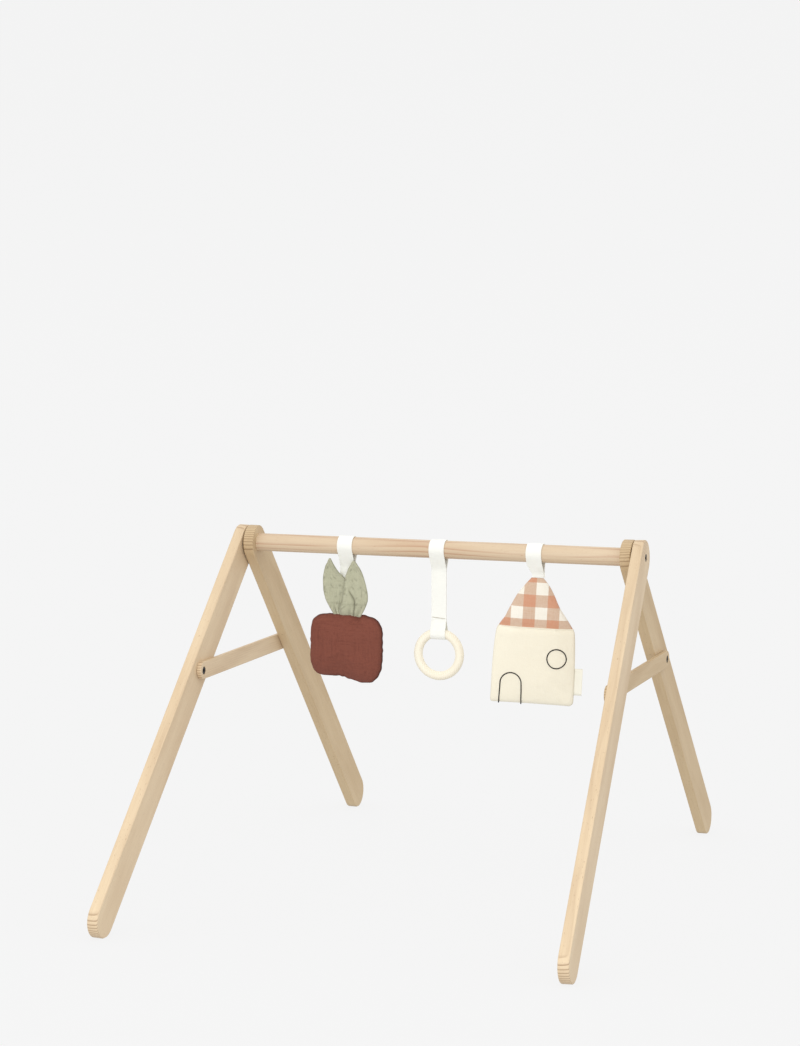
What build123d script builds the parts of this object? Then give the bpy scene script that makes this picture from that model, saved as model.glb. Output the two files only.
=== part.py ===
"""Activity play gym: two bolted A-frames, a round bar and three hanging toys.

Millimetres. X runs along the bar (left is -X), the front is -Y and +Z is up.
The origin is on the floor, under the middle of the bar.

Each A-frame is a back leg that the bar butts against, a front leg outside it,
and a thin brace between the two leg planes. One bolt goes through both legs
into the bar's end, and one bolt holds each end of the brace. The toys hang
from loops of cotton tape that slide along the bar.
"""
from build123d import *
import os
from math import asin, cos, degrees, radians, sin, sqrt, tan

# ---------------------------------------------------------------- frame sizes
PIVOT_HEIGHT = 471.0        # bar axis above the floor
BAR_DIAMETER = 25.0
BAR_SPAN = 535.0            # bar length that shows, between the back legs
LEG_WIDTH = 48.0
LEG_THICKNESS = 15.0
LEG_ANGLE = 43.6            # each leg from upright, seen along the bar
BACK_LEAN = 0.85            # outward lean of a back leg, in degrees
END_CLEARANCE = 0.01        # between the two legs where their round ends come nearest
LEG_EASING = 1.6            # rounding of the legs' long edges
FOOT_FLAT_DEPTH = 0.7       # taken off the round foot where it stands
BRACE_DROP = 224.0          # from the bar's axis down each leg to its brace bolt
BRACE_WIDTH = 24.0
BRACE_THICKNESS = 6.0
BRACE_EASING = 0.8

# ------------------------------------------------------------------ fasteners
BOLT_DIAMETER = 6.0
HEAD_DIAMETER = 10.6
HEAD_RIM = 0.6              # straight rim above the head's cone
HEAD_CONE = 2.6
SOCKET_ACROSS = 4.0         # hexagon key size
SOCKET_DEPTH = 2.2
HEAD_RECESS = 0.5           # head below the wood's face
HEAD_CLEARANCE = 0.15
SHANK_CLEARANCE = 0.2
TOP_BOLT_LENGTH = 45.0
BRACE_BOLT_LENGTH = 16.0
INSERT_DIAMETER = 8.4
INSERT_RIB = 0.6            # height of the ribs that bite into the wood
INSERT_RIBS = 3
INSERT_SINK = 0.5           # mouth below the wood's face
BAR_INSERT_LENGTH = 15.0
LEG_INSERT_LENGTH = 10.0
THREAD_CLEARANCE = 0.05
TIP_ROOM = 1.5              # drilled past the end of the bolt

# ------------------------------------------------------------ tape and its fit
TAPE_WIDTH = 22.0
TAPE_THICKNESS = 1.2
LOOP_CLEARANCE = 0.3        # round the bar, round the ring and above a toy
CREASE_RADIUS = 0.2         # inside the fold where two layers meet

# ----------------------------------------------------------------- apple toy
APPLE_X = -134.8
APPLE_STRAP_X = -132.8
APPLE_DROP = 96.0           # from the bar's axis to the top seam
APPLE_LOOP_DEPTH = 28.0     # from the bar's axis to where the layers meet
APPLE_WIDTH = 111.0
APPLE_HEIGHT = 96.0
APPLE_DEPTH = 44.0
APPLE_CORNER = 30.0
APPLE_ROUNDING = 17.0
COVER_THICKNESS = 1.5
LEAF_LENGTH = 88.0          # the root's point is sewn inside the seam
LEAF_ROOT = 11.0            # how much of that is inside
LEAF_WIDTH = 34.0
LEAF_THICKNESS = 5.0
LEAF_TILT = 4.0             # leaves lean forward from the seam
LEAF_SETBACK = 4.6          # leaf's middle in front of the seam
LEAF_SPREAD = (11.0, -9.0)  # left and right leaf turned in their own plane
LEAF_OFFSET = (-10.5, 8.0)  # roots of the left and right leaf from the strap

# ----------------------------------------------------------------- ring toy
RING_X = 3.2
RING_DROP = 147.2           # from the bar's axis to the ring's centre
RING_DIAMETER = 73.0
RING_SECTION = 12.2
RING_LOOP_DEPTH = 28.0
STITCH_DROP = 96.0          # from the bar's axis to the stitched line
STITCHED_HEIGHT = 3.0       # tape sewn together under that line

# ---------------------------------------------------------------- house toy
HOUSE_X = 145.9
HOUSE_STRAP_X = 143.5
HOUSE_DROP = 32.3           # from the bar's axis to the top of the roof
HOUSE_TILT = 2.6            # turned in its own plane, the foot to the left
HOUSE_TURN = 12.0           # turned on its tape, the front towards the right
HOUSE_DEPTH = 14.0
HOUSE_ROUNDING = 4.0
ROOF_TOP_WIDTH = 15.0
ROOF_HEIGHT = 70.0
EAVES_WIDTH = 108.0
WALL_HEIGHT = 108.0
WALL_FOOT_WIDTH = 117.0
TAG_WIDTH = 10.0
TAG_HEIGHT = 37.0
TAG_THICKNESS = 1.0
TAG_DROP = 54.0             # from the eaves to the top of the tag

# -------------------------------------------------------------- derived sizes
SIDES = {"left": -1, "right": 1}
BAR_RADIUS = BAR_DIAMETER / 2
LEG_RADIUS = LEG_WIDTH / 2


def pivot_gap():
    """Gap between the legs at the bar's axis: they lean apart from there, so their ends lean together."""
    gap = 0.0
    for _ in range(20):
        front_lean = BACK_LEAN + degrees(asin((BRACE_THICKNESS - gap) / BRACE_DROP))
        both = 2 * BACK_LEAN * front_lean * cos(radians(2 * LEG_ANGLE))
        between = sqrt(BACK_LEAN**2 + front_lean**2 - both)
        gap = END_CLEARANCE + (LEG_RADIUS - LEG_EASING) * tan(radians(between))
    return gap


PIVOT_GAP = pivot_gap()
SPLAY = degrees(asin((BRACE_THICKNESS - PIVOT_GAP) / BRACE_DROP))
FRONT_LEAN = BACK_LEAN + SPLAY
BACK_LEG_X = BAR_SPAN / 2 + LEG_THICKNESS / 2
FRONT_LEG_X = BACK_LEG_X + LEG_THICKNESS + PIVOT_GAP
BRACE_BOLT_Y = BRACE_DROP * sin(radians(LEG_ANGLE))
BRACE_BOLT_Z = PIVOT_HEIGHT - BRACE_DROP * cos(radians(LEG_ANGLE))
BRACE_INNER_X = BAR_SPAN / 2 + LEG_THICKNESS + BRACE_DROP * tan(radians(BACK_LEAN))
BRACE_OUTER_X = BRACE_INNER_X + BRACE_THICKNESS


# ------------------------------------------------------------------ the frame
def leg_place(side, back):
    """Place of a leg: its own frame has the pivot at the origin and runs down -Z."""
    angle = LEG_ANGLE if back else -LEG_ANGLE
    lean = BACK_LEAN if back else FRONT_LEAN
    across = BACK_LEG_X if back else FRONT_LEG_X
    return Location((side * across, 0, PIVOT_HEIGHT)) * Rotation(angle, 0, 0) * Rotation(0, -side * lean, 0)


def board(reach, width, thickness, easing):
    """A flat board with round ends, hung by its upper end's centre, with eased edges."""
    outline = Pos(0, -reach / 2) * Rot(0, 0, 90) * SlotCenterToCenter(reach, width)
    solid = extrude(Plane.YZ * outline, amount=thickness / 2, both=True)
    rims = solid.faces().sort_by(Axis.X)
    return fillet(rims[0].edges() + rims[-1].edges(), easing)


def leg_blank(side, back):
    """A leg before drilling, standing on its small foot flat."""
    lean = BACK_LEAN if back else FRONT_LEAN
    drop = PIVOT_HEIGHT - (LEG_RADIUS - FOOT_FLAT_DEPTH)
    reach = drop / (cos(radians(LEG_ANGLE)) * cos(radians(lean)))
    leg = leg_place(side, back) * board(reach, LEG_WIDTH, LEG_THICKNESS, LEG_EASING)
    above_floor = Pos(0, 0, PIVOT_HEIGHT) * Box(4 * PIVOT_HEIGHT, 4 * PIVOT_HEIGHT, 2 * PIVOT_HEIGHT)
    return leg & above_floor


def aimed(x, y, z, direction):
    """Place of a fastener whose own +X is to point along the row's +X or -X."""
    return Location((x, y, z)) * Rotation(0, 0, 0 if direction > 0 else 180)


def revolve_profile(points):
    """A solid of revolution about X from points of (x, radius)."""
    return revolve(Plane.XZ * make_face(Polyline(*points, close=True)), axis=Axis.X)


def bolt(length):
    """A countersunk bolt with a hexagon socket: head at the origin, tip along +X."""
    head, shank = HEAD_DIAMETER / 2, BOLT_DIAMETER / 2
    under = HEAD_RIM + HEAD_CONE
    body = revolve_profile([(0, 0), (0, head), (HEAD_RIM, head), (under, shank), (length, shank), (length, 0)])
    socket = extrude(Plane.YZ * RegularPolygon(SOCKET_ACROSS / 2, 6, major_radius=False), amount=SOCKET_DEPTH)
    return chamfer(body.edges().sort_by(Axis.X)[-1:], 0.6) - socket


def bolt_hole(length):
    """The hole that such a bolt goes in: recess, shank and a countersink that the head sits on."""
    slope = HEAD_CONE / (HEAD_DIAMETER / 2 - BOLT_DIAMETER / 2)
    head = HEAD_DIAMETER / 2 + HEAD_CLEARANCE
    shank = BOLT_DIAMETER / 2 + SHANK_CLEARANCE
    rim = HEAD_RIM - HEAD_CLEARANCE * slope
    under = HEAD_RIM + HEAD_CONE - SHANK_CLEARANCE * slope
    mouth = -4 * HEAD_RECESS
    return revolve_profile([(mouth, 0), (mouth, head), (rim, head), (under, shank), (length, shank), (length, 0)])


def insert_blank(length):
    """The outside of a threaded insert, with its ribs: mouth at the origin, end along +X."""
    core = INSERT_DIAMETER / 2
    solid = revolve_profile([(0, 0), (0, core), (length, core), (length, 0)])
    pitch = length / (INSERT_RIBS + 1)
    for turn in range(1, INSERT_RIBS + 1):
        middle, half = turn * pitch, pitch / 4
        solid += revolve_profile([(middle - half, 0), (middle - half, core), (middle, core + INSERT_RIB),
                                  (middle + half, core), (middle + half, 0)])
    return solid


def insert(length):
    """A threaded insert: a ribbed sleeve with the bolt's hole through it."""
    bore = BOLT_DIAMETER / 2 + THREAD_CLEARANCE
    return insert_blank(length) - revolve_profile([(0, 0), (0, bore), (length, bore), (length, 0)])


def insert_hole(length, depth):
    """The hole for an insert, sunk below the face, with the drilled room past its end."""
    core = INSERT_DIAMETER / 2
    bore = BOLT_DIAMETER / 2
    mouth = revolve_profile([(-2 * INSERT_SINK, 0), (-2 * INSERT_SINK, core), (0, core), (0, 0)])
    room = revolve_profile([(0, 0), (0, bore), (depth, bore), (depth, 0)])
    return insert_blank(length) + mouth + room


def build_frame_side(name, side):
    """One A-frame: two legs, the brace between them, their bolts and inserts."""
    back_blank = leg_blank(side, True)
    front_blank = leg_blank(side, False)

    top_head_x = FRONT_LEG_X + LEG_THICKNESS / 2 - HEAD_RECESS
    top = aimed(side * top_head_x, 0, PIVOT_HEIGHT, -side)
    bar_mouth = aimed(side * (BAR_SPAN / 2 - INSERT_SINK), 0, PIVOT_HEIGHT, -side)

    front_head = aimed(side * (BRACE_INNER_X + HEAD_RECESS), -BRACE_BOLT_Y, BRACE_BOLT_Z, side)
    back_head = aimed(side * (BRACE_OUTER_X - HEAD_RECESS), BRACE_BOLT_Y, BRACE_BOLT_Z, -side)
    front_mouth = aimed(side * (BRACE_OUTER_X + INSERT_SINK), -BRACE_BOLT_Y, BRACE_BOLT_Z, side)
    back_mouth = aimed(side * (BRACE_INNER_X - INSERT_SINK), BRACE_BOLT_Y, BRACE_BOLT_Z, -side)
    reach_in_leg = BRACE_BOLT_LENGTH - (BRACE_THICKNESS - HEAD_RECESS) - INSERT_SINK
    leg_hole = insert_hole(LEG_INSERT_LENGTH, reach_in_leg + TIP_ROOM)

    brace_middle = Pos(side * (BRACE_INNER_X + BRACE_THICKNESS / 2), BRACE_BOLT_Y, BRACE_BOLT_Z)
    brace = brace_middle * Rot(-90, 0, 0) * board(2 * BRACE_BOLT_Y, BRACE_WIDTH, BRACE_THICKNESS, BRACE_EASING)
    brace = brace - front_blank - back_blank
    brace = brace - front_head * bolt_hole(BRACE_BOLT_LENGTH) - back_head * bolt_hole(BRACE_BOLT_LENGTH)

    return {
        name + "_back_leg": back_blank - top * bolt_hole(TOP_BOLT_LENGTH) - back_mouth * leg_hole,
        name + "_front_leg": front_blank - top * bolt_hole(TOP_BOLT_LENGTH) - front_mouth * leg_hole,
        name + "_brace": brace,
        name + "_top_bolt": top * bolt(TOP_BOLT_LENGTH),
        name + "_bar_insert": bar_mouth * insert(BAR_INSERT_LENGTH),
        name + "_brace_front_bolt": front_head * bolt(BRACE_BOLT_LENGTH),
        name + "_brace_back_bolt": back_head * bolt(BRACE_BOLT_LENGTH),
        name + "_brace_front_insert": front_mouth * insert(LEG_INSERT_LENGTH),
        name + "_brace_back_insert": back_mouth * insert(LEG_INSERT_LENGTH),
    }


def build_bar():
    """The round bar, its ends cut flush with the back legs and bored for the inserts."""
    overrun = LEG_THICKNESS
    bar = Pos(0, 0, PIVOT_HEIGHT) * Rot(0, 90, 0) * Cylinder(BAR_RADIUS, BAR_SPAN + overrun)
    through = 2 * LEG_THICKNESS + PIVOT_GAP - HEAD_RECESS
    depth = TOP_BOLT_LENGTH - through - INSERT_SINK + TIP_ROOM
    for side in SIDES.values():
        mouth = aimed(side * (BAR_SPAN / 2 - INSERT_SINK), 0, PIVOT_HEIGHT, -side)
        bar = bar - leg_blank(side, True) - mouth * insert_hole(BAR_INSERT_LENGTH, depth)
    return bar


# ------------------------------------------------------------------- the toys
def hull(*circles):
    """The outline stretched round circles of (drop below the bar's axis, radius)."""
    return make_hull([edge for drop, radius in circles for edge in (Pos(0, -drop) * Circle(radius)).edges()])


def extrude_tape(profile, x):
    """Tape cut to its width: a profile in Y and Z, hung from the bar's axis at x."""
    return Pos(x, 0, PIVOT_HEIGHT) * extrude(Plane.YZ * profile, amount=TAPE_WIDTH / 2, both=True)


def bar_loop(loop_depth, tail_end):
    """Profile of tape folded over the bar, closing at loop_depth and sewn flat to tail_end."""
    inside = BAR_RADIUS + LOOP_CLEARANCE
    profile = hull((0, inside + TAPE_THICKNESS), (loop_depth, TAPE_THICKNESS))
    profile -= hull((0, inside), (loop_depth - CREASE_RADIUS, CREASE_RADIUS))
    if tail_end > loop_depth:
        profile += Pos(0, -(loop_depth + tail_end) / 2) * Rectangle(2 * TAPE_THICKNESS, tail_end - loop_depth)
    return profile


def ring_solid(section):
    """The ring facing the front, with a round section."""
    centre_radius = (RING_DIAMETER - RING_SECTION) / 2
    return Pos(RING_X, 0, PIVOT_HEIGHT - RING_DROP) * Rot(90, 0, 0) * Torus(centre_radius, section / 2)


def ring_loop():
    """Profile of the lower loop, which holds the ring's curved top across the tape's width."""
    centre_radius = (RING_DIAMETER - RING_SECTION) / 2
    half = TAPE_WIDTH / 2
    sag = centre_radius - (centre_radius ** 2 - half ** 2) ** 0.5
    slope_stretch = RING_SECTION / 2 * (centre_radius / (centre_radius - sag) - 1)
    inside = RING_SECTION / 2 + LOOP_CLEARANCE
    top = RING_DROP - centre_radius
    low = top + sag + slope_stretch
    close = STITCH_DROP + STITCHED_HEIGHT
    outer = hull((close, TAPE_THICKNESS), (top, inside + TAPE_THICKNESS), (low, inside + TAPE_THICKNESS))
    return outer - hull((close + CREASE_RADIUS, CREASE_RADIUS), (top, inside), (low, inside))


def build_ring_toy():
    """The wooden ring and the long tape that holds it."""
    profile = bar_loop(RING_LOOP_DEPTH, STITCH_DROP + STITCHED_HEIGHT) + ring_loop()
    strap = extrude_tape(profile, RING_X) - ring_solid(RING_SECTION + 2 * LOOP_CLEARANCE)
    return {"ring_strap": strap, "ring": ring_solid(RING_SECTION)}


def pillow(inset):
    """The apple's rounded block, drawn in by inset on every side."""
    outline = RectangleRounded(APPLE_WIDTH - 2 * inset, APPLE_HEIGHT - 2 * inset, APPLE_CORNER - inset)
    block = extrude(Plane.XZ * outline, amount=APPLE_DEPTH / 2 - inset, both=True)
    faces = block.faces().sort_by(Axis.Y)
    block = fillet(faces[0].edges() + faces[-1].edges(), APPLE_ROUNDING - inset)
    return Pos(APPLE_X, 0, PIVOT_HEIGHT - APPLE_DROP - APPLE_HEIGHT / 2) * block


def leaf(offset, spread):
    """One stuffed leaf, its root at the apple's top seam and its tip up towards the bar."""
    half = LEAF_WIDTH / 2
    edge = RadiusArc((0, 0), (0, LEAF_LENGTH), (half ** 2 + (LEAF_LENGTH / 2) ** 2) / (2 * half))
    outline = make_face([edge, mirror(edge, Plane.YZ)])
    solid = extrude(Plane.XZ * outline, amount=LEAF_THICKNESS / 2, both=True)
    seam = Pos(APPLE_STRAP_X + offset, -LEAF_SETBACK, PIVOT_HEIGHT - APPLE_DROP)
    return seam * Rot(LEAF_TILT, 0, 0) * Rot(0, -spread, 0) * Pos(0, 0, -LEAF_ROOT) * solid


def build_apple_toy():
    """The stuffed apple, its two leaves and the tape that goes down behind them."""
    outside, filling = pillow(0), pillow(COVER_THICKNESS)
    leaves = [leaf(offset, spread) - outside for offset, spread in zip(LEAF_OFFSET, LEAF_SPREAD)]
    tail_end = APPLE_DROP - LOOP_CLEARANCE
    return {
        "apple_strap": extrude_tape(bar_loop(APPLE_LOOP_DEPTH, tail_end), APPLE_STRAP_X),
        "apple_cover": outside - filling,
        "apple_filling": filling,
        "apple_left_leaf": leaves[0],
        "apple_right_leaf": leaves[1] - leaves[0],
    }


def house_block(inset):
    """The house's padded outline, drawn in by inset, with its roof's top at the origin."""
    floor = -(ROOF_HEIGHT + WALL_HEIGHT)
    right = [(ROOF_TOP_WIDTH / 2, 0), (EAVES_WIDTH / 2, -ROOF_HEIGHT), (WALL_FOOT_WIDTH / 2, floor)]
    outline = Polygon(*right, *[(-x, z) for x, z in reversed(right)], align=None)
    if inset:
        outline = offset(outline, -inset, kind=Kind.INTERSECTION)
    block = extrude(Plane.XZ * outline, amount=HOUSE_DEPTH / 2 - inset, both=True)
    faces = block.faces().sort_by(Axis.Y)
    return fillet(faces[0].edges() + faces[-1].edges(), HOUSE_ROUNDING - inset)


def build_house_toy():
    """The flat padded house: checked roof, plain walls, wadding, side tag and its tape."""
    place = Pos(HOUSE_X, 0, PIVOT_HEIGHT - HOUSE_DROP) * Rot(0, 0, HOUSE_TURN) * Rot(0, HOUSE_TILT, 0)
    outside, filling = house_block(0), house_block(COVER_THICKNESS)
    cover = outside - filling
    above_eaves = Pos(0, 0, ROOF_HEIGHT) * Box(2 * WALL_FOOT_WIDTH, 2 * HOUSE_DEPTH, 4 * ROOF_HEIGHT)
    tag_top = -(ROOF_HEIGHT + TAG_DROP)
    tag_edge = WALL_FOOT_WIDTH / 2
    tag = Pos(tag_edge, 0, tag_top - TAG_HEIGHT / 2) * Box(2 * TAG_WIDTH, TAG_THICKNESS, TAG_HEIGHT)
    tag = (tag - outside).solids().sort_by(Axis.X)[-1]
    return {
        "house_strap": extrude_tape(bar_loop(HOUSE_DROP - LOOP_CLEARANCE - TAPE_THICKNESS, 0), HOUSE_STRAP_X),
        "house_roof": place * (cover & above_eaves),
        "house_walls": place * (cover - above_eaves),
        "house_filling": place * filling,
        "house_tag": place * tag,
    }


def build_gym():
    """Every piece of the gym by name."""
    nodes = {"bar": build_bar()}
    for name, side in SIDES.items():
        nodes.update(build_frame_side(name, side))
    nodes.update(build_apple_toy())
    nodes.update(build_ring_toy())
    nodes.update(build_house_toy())
    return nodes


os.makedirs("parts", exist_ok=True)
for node, shape in build_gym().items():
    export_step(shape, f"parts/{node}.step")
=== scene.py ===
"""Visual model of a wooden activity play gym with three hanging toys.

Lengths are in metres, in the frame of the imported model: X runs along the bar,
the front is -Y and the floor is at Z = 0. The boards, bar, bolts and teething
ring keep their own solids and get their finishes here. The tapes, the stuffed
apple with its leaves and the padded house are sewn here in place of plain
solids.
"""

import logging
import math
from dataclasses import dataclass, field, replace
from enum import Enum

import bmesh
import bpy
from mathutils import Matrix, Vector, noise
from mathutils.bvhtree import BVHTree


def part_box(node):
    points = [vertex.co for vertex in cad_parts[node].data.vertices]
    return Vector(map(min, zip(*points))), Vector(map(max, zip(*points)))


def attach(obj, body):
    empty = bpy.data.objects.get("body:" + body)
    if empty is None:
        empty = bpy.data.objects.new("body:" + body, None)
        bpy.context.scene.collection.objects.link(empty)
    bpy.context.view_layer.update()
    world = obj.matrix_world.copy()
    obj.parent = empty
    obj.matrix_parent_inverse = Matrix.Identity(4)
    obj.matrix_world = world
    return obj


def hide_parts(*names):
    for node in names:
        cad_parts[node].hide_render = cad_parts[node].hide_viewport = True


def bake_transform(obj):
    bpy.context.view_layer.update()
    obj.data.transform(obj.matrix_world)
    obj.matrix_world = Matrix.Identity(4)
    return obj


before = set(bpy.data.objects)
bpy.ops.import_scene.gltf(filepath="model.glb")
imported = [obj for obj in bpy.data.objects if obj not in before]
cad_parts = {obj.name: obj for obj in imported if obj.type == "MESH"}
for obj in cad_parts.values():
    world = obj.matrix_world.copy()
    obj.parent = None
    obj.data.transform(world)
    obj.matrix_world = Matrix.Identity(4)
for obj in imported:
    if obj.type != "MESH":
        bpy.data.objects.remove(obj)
LOG = logging.getLogger("play_gym")
MM = 0.001


# ----------------------------------------------------------------- small tools
def paint(red: int, green: int, blue: int) -> tuple[float, float, float, float]:
    """Turn a paint-chart colour into the linear colour that shaders use.

    Args:
        red: Red from 0 to 255.
        green: Green from 0 to 255.
        blue: Blue from 0 to 255.

    Returns:
        The linear colour, with full alpha.
    """

    def linear(value: int) -> float:
        """Undo the display curve for one channel."""
        share = value / 255
        return share / 12.92 if share <= 0.04045 else ((share + 0.055) / 1.055) ** 2.4

    return linear(red), linear(green), linear(blue), 1.0


def smoothstep(low: float, high: float, value: float) -> float:
    """Ease from 0 at low to 1 at high."""
    t = min(1.0, max(0.0, (value - low) / (high - low)))
    return t * t * (3 - 2 * t)


def along_profile(stops: tuple[tuple[float, float], ...], at: float) -> float:
    """Read a smooth curve that passes through its stops.

    Args:
        stops: Pairs of (place, value), with the places rising.
        at: The place to read.

    Returns:
        The value there, on a Catmull-Rom curve through the stops.
    """
    at = min(stops[-1][0], max(stops[0][0], at))
    last = len(stops) - 1
    i = next(k for k in range(last) if at <= stops[k + 1][0])
    (x0, y0), (x1, y1) = stops[i], stops[i + 1]
    xa, ya = stops[max(0, i - 1)]
    xb, yb = stops[min(last, i + 2)]
    t, span = (at - x0) / (x1 - x0), x1 - x0
    slope0 = (y1 - ya) / (x1 - xa) * span
    slope1 = (yb - y0) / (xb - x0) * span
    return (
        (2 * t**3 - 3 * t**2 + 1) * y0
        + (t**3 - 2 * t**2 + t) * slope0
        + (3 * t**2 - 2 * t**3) * y1
        + (t**3 - t**2) * slope1
    )


def middle(node: str) -> Vector:
    """The middle of a CAD node's box."""
    low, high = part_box(node)
    return (low + high) / 2


def only(kind: type, items: list) -> list:
    """The items of one kind, in their order."""
    return [item for item in items if isinstance(item, kind)]


def linked(name: str, data: bpy.types.ID) -> bpy.types.Object:
    """A new object of this data, linked into the scene."""
    made = bpy.data.objects.new(name, data)
    bpy.context.scene.collection.objects.link(made)
    return made


def carry_on(bm: bmesh.types.BMesh, edges: list, step: Matrix) -> tuple[list, list]:
    """Lay one more row of a strip, by extruding its leading edges and moving them.

    Args:
        bm: The strip.
        edges: Its leading edges.
        step: The move in the row frame.

    Returns:
        The new row's points and the new leading edges.
    """
    made = bmesh.ops.extrude_edge_only(bm, edges=edges)["geom"]
    verts = only(bmesh.types.BMVert, made)
    fresh = set(verts)
    bmesh.ops.transform(bm, matrix=step, verts=verts)
    return verts, [edge for edge in only(bmesh.types.BMEdge, made) if set(edge.verts) <= fresh]


def new_piece(name: str, bm: bmesh.types.BMesh, material: bpy.types.Material, smooth: bool = True) -> bpy.types.Object:
    """Make an object from a finished bmesh and free the bmesh.

    Args:
        name: The piece's name.
        bm: Its shape, in the row frame.
        material: Its finish.
        smooth: Whether its faces are shaded smooth.

    Returns:
        The object, linked into the scene.
    """
    mesh = bpy.data.meshes.new(name)
    bm.to_mesh(mesh)
    bm.free()
    mesh.polygons.foreach_set("use_smooth", [smooth] * len(mesh.polygons))
    mesh.materials.append(material)
    return linked(name, mesh)


def subdivide(piece: bpy.types.Object, levels: int) -> None:
    """Round a piece with a subdivision surface."""
    rounding = piece.modifiers.new("rounding", "SUBSURF")
    rounding.levels = rounding.render_levels = levels


def settle(piece: bpy.types.Object) -> None:
    """Turn a piece's modifiers into its own mesh."""
    graph = bpy.context.evaluated_depsgraph_get()
    settled = bpy.data.meshes.new_from_object(piece.evaluated_get(graph))
    piece.modifiers.clear()
    piece.data = settled


def puff(piece: bpy.types.Object, pressure: float, cap: float, stiffness: float = 12.0) -> None:
    """Stuff a sewn cover by a short cloth simulation, and keep the result.

    Args:
        piece: A closed cover.
        pressure: The push of its stuffing.
        cap: How far any point may move.
        stiffness: How little the cloth stretches.
    """
    cloth = piece.modifiers.new("stuffing", "CLOTH")
    cloth.settings.quality = 6
    cloth.settings.mass = 0.25
    cloth.settings.tension_stiffness = stiffness
    cloth.settings.compression_stiffness = stiffness
    cloth.settings.shear_stiffness = stiffness / 2
    cloth.settings.bending_stiffness = 0.15
    cloth.settings.use_pressure = True
    cloth.settings.uniform_pressure_force = pressure
    cloth.settings.effector_weights.gravity = 0
    cloth.point_cache.frame_start, cloth.point_cache.frame_end = 1, 20
    for step in range(1, 21):
        bpy.context.scene.frame_set(step)
    graph = bpy.context.evaluated_depsgraph_get()
    swollen = [vert.co.copy() for vert in piece.evaluated_get(graph).data.vertices]
    piece.modifiers.remove(cloth)
    bpy.context.scene.frame_set(1)
    for vert, end in zip(piece.data.vertices, swollen):
        move = end - vert.co
        vert.co += move if move.length < cap else move * (cap / move.length)


def mark(piece: bpy.types.Object, name: str, values: list[float]) -> None:
    """Store one number for each point of a piece, for its material to read."""
    layer = piece.data.attributes.new(name, "FLOAT", "POINT")
    layer.data.foreach_set("value", values)


def thread_line(
    name: str, bm: bmesh.types.BMesh, radius: float, material: bpy.types.Material, body: str,
) -> None:
    """Turn a path of edges into a thin round line of thread.

    Args:
        name: The line's name.
        bm: Its path, in the row frame.
        radius: The thread's radius.
        material: Its finish.
        body: The body that it rides on.
    """
    mesh = bpy.data.meshes.new(name)
    bm.to_mesh(mesh)
    bm.free()
    path = linked(name + "_path", mesh)
    chosen = {"object": path, "active_object": path, "selected_objects": [path], "selected_editable_objects": [path]}
    with bpy.context.temp_override(**chosen):
        bpy.ops.object.convert(target="CURVE")
    path.data.bevel_depth, path.data.bevel_resolution, path.data.use_fill_caps = radius, 2, True
    graph = bpy.context.evaluated_depsgraph_get()
    line = bpy.data.objects.new(name, bpy.data.meshes.new_from_object(path.evaluated_get(graph)))
    bpy.data.objects.remove(path)
    line.data.materials.clear()
    line.data.materials.append(material)
    line.data.polygons.foreach_set("use_smooth", [True] * len(line.data.polygons))
    bpy.context.scene.collection.objects.link(line)
    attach(line, body)
    LOG.info("stitched %s", name)


# ------------------------------------------------------------- shader building
@dataclass
class Wiring:
    """Adds nodes to a shader tree and joins them."""

    tree: bpy.types.NodeTree

    def add(self, kind: str, inputs: dict | None = None, **settings: object) -> bpy.types.Node:
        """Add one node.

        Args:
            kind: The node's type.
            inputs: Values or sockets by input name or number.
            settings: The node's own options.

        Returns:
            The node.
        """
        node = self.tree.nodes.new(kind)
        for name, value in settings.items():
            setattr(node, name, value)
        for key, value in (inputs or {}).items():
            self.feed(node.inputs[key], value)
        return node

    def feed(self, socket: bpy.types.NodeSocket, value: object) -> None:
        """Join a socket to another, or set its value."""
        if isinstance(value, bpy.types.NodeSocket):
            self.tree.links.new(value, socket)
        else:
            socket.default_value = value

    def math(self, operation: str, a: object, b: object = 0.0, clamp: bool = False) -> bpy.types.NodeSocket:
        """One sum on numbers."""
        node = self.add("ShaderNodeMath", {0: a, 1: b}, operation=operation, use_clamp=clamp)
        return node.outputs[0]

    def vector(self, operation: str, a: object, b: object = (0, 0, 0)) -> bpy.types.NodeSocket:
        """One sum on vectors."""
        return self.add("ShaderNodeVectorMath", {0: a, 1: b}, operation=operation).outputs[0]

    def mix(self, factor: object, a: object, b: object) -> bpy.types.NodeSocket:
        """A colour between a and b."""
        node = self.add("ShaderNodeMix", {0: factor, 6: a, 7: b}, data_type="RGBA")
        return node.outputs[2]

    def span(
        self, value: object, low: float, high: float, to_low: float = 0.0, to_high: float = 1.0,
    ) -> bpy.types.NodeSocket:
        """Stretch the values from low to high over a new range, and stop at its ends."""
        inputs = {0: value, 1: low, 2: high, 3: to_low, 4: to_high}
        return self.add("ShaderNodeMapRange", inputs).outputs[0]

    def noise(self, place: object, stretch: tuple[float, float, float], detail: float = 2.0) -> bpy.types.NodeSocket:
        """Smooth noise, its grain stretched by a factor along each axis."""
        stretched = self.vector("MULTIPLY", place, stretch)
        node = self.add("ShaderNodeTexNoise", {"Vector": stretched, "Scale": 1.0, "Detail": detail})
        return node.outputs["Fac"]


def new_material(name: str) -> tuple[bpy.types.Material, Wiring, bpy.types.Node]:
    """Start a material.

    Args:
        name: Its name.

    Returns:
        The material, its wiring and its main shader.
    """
    material = bpy.data.materials.new(name)
    material.use_nodes = True
    return material, Wiring(material.node_tree), material.node_tree.nodes["Principled BSDF"]


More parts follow.
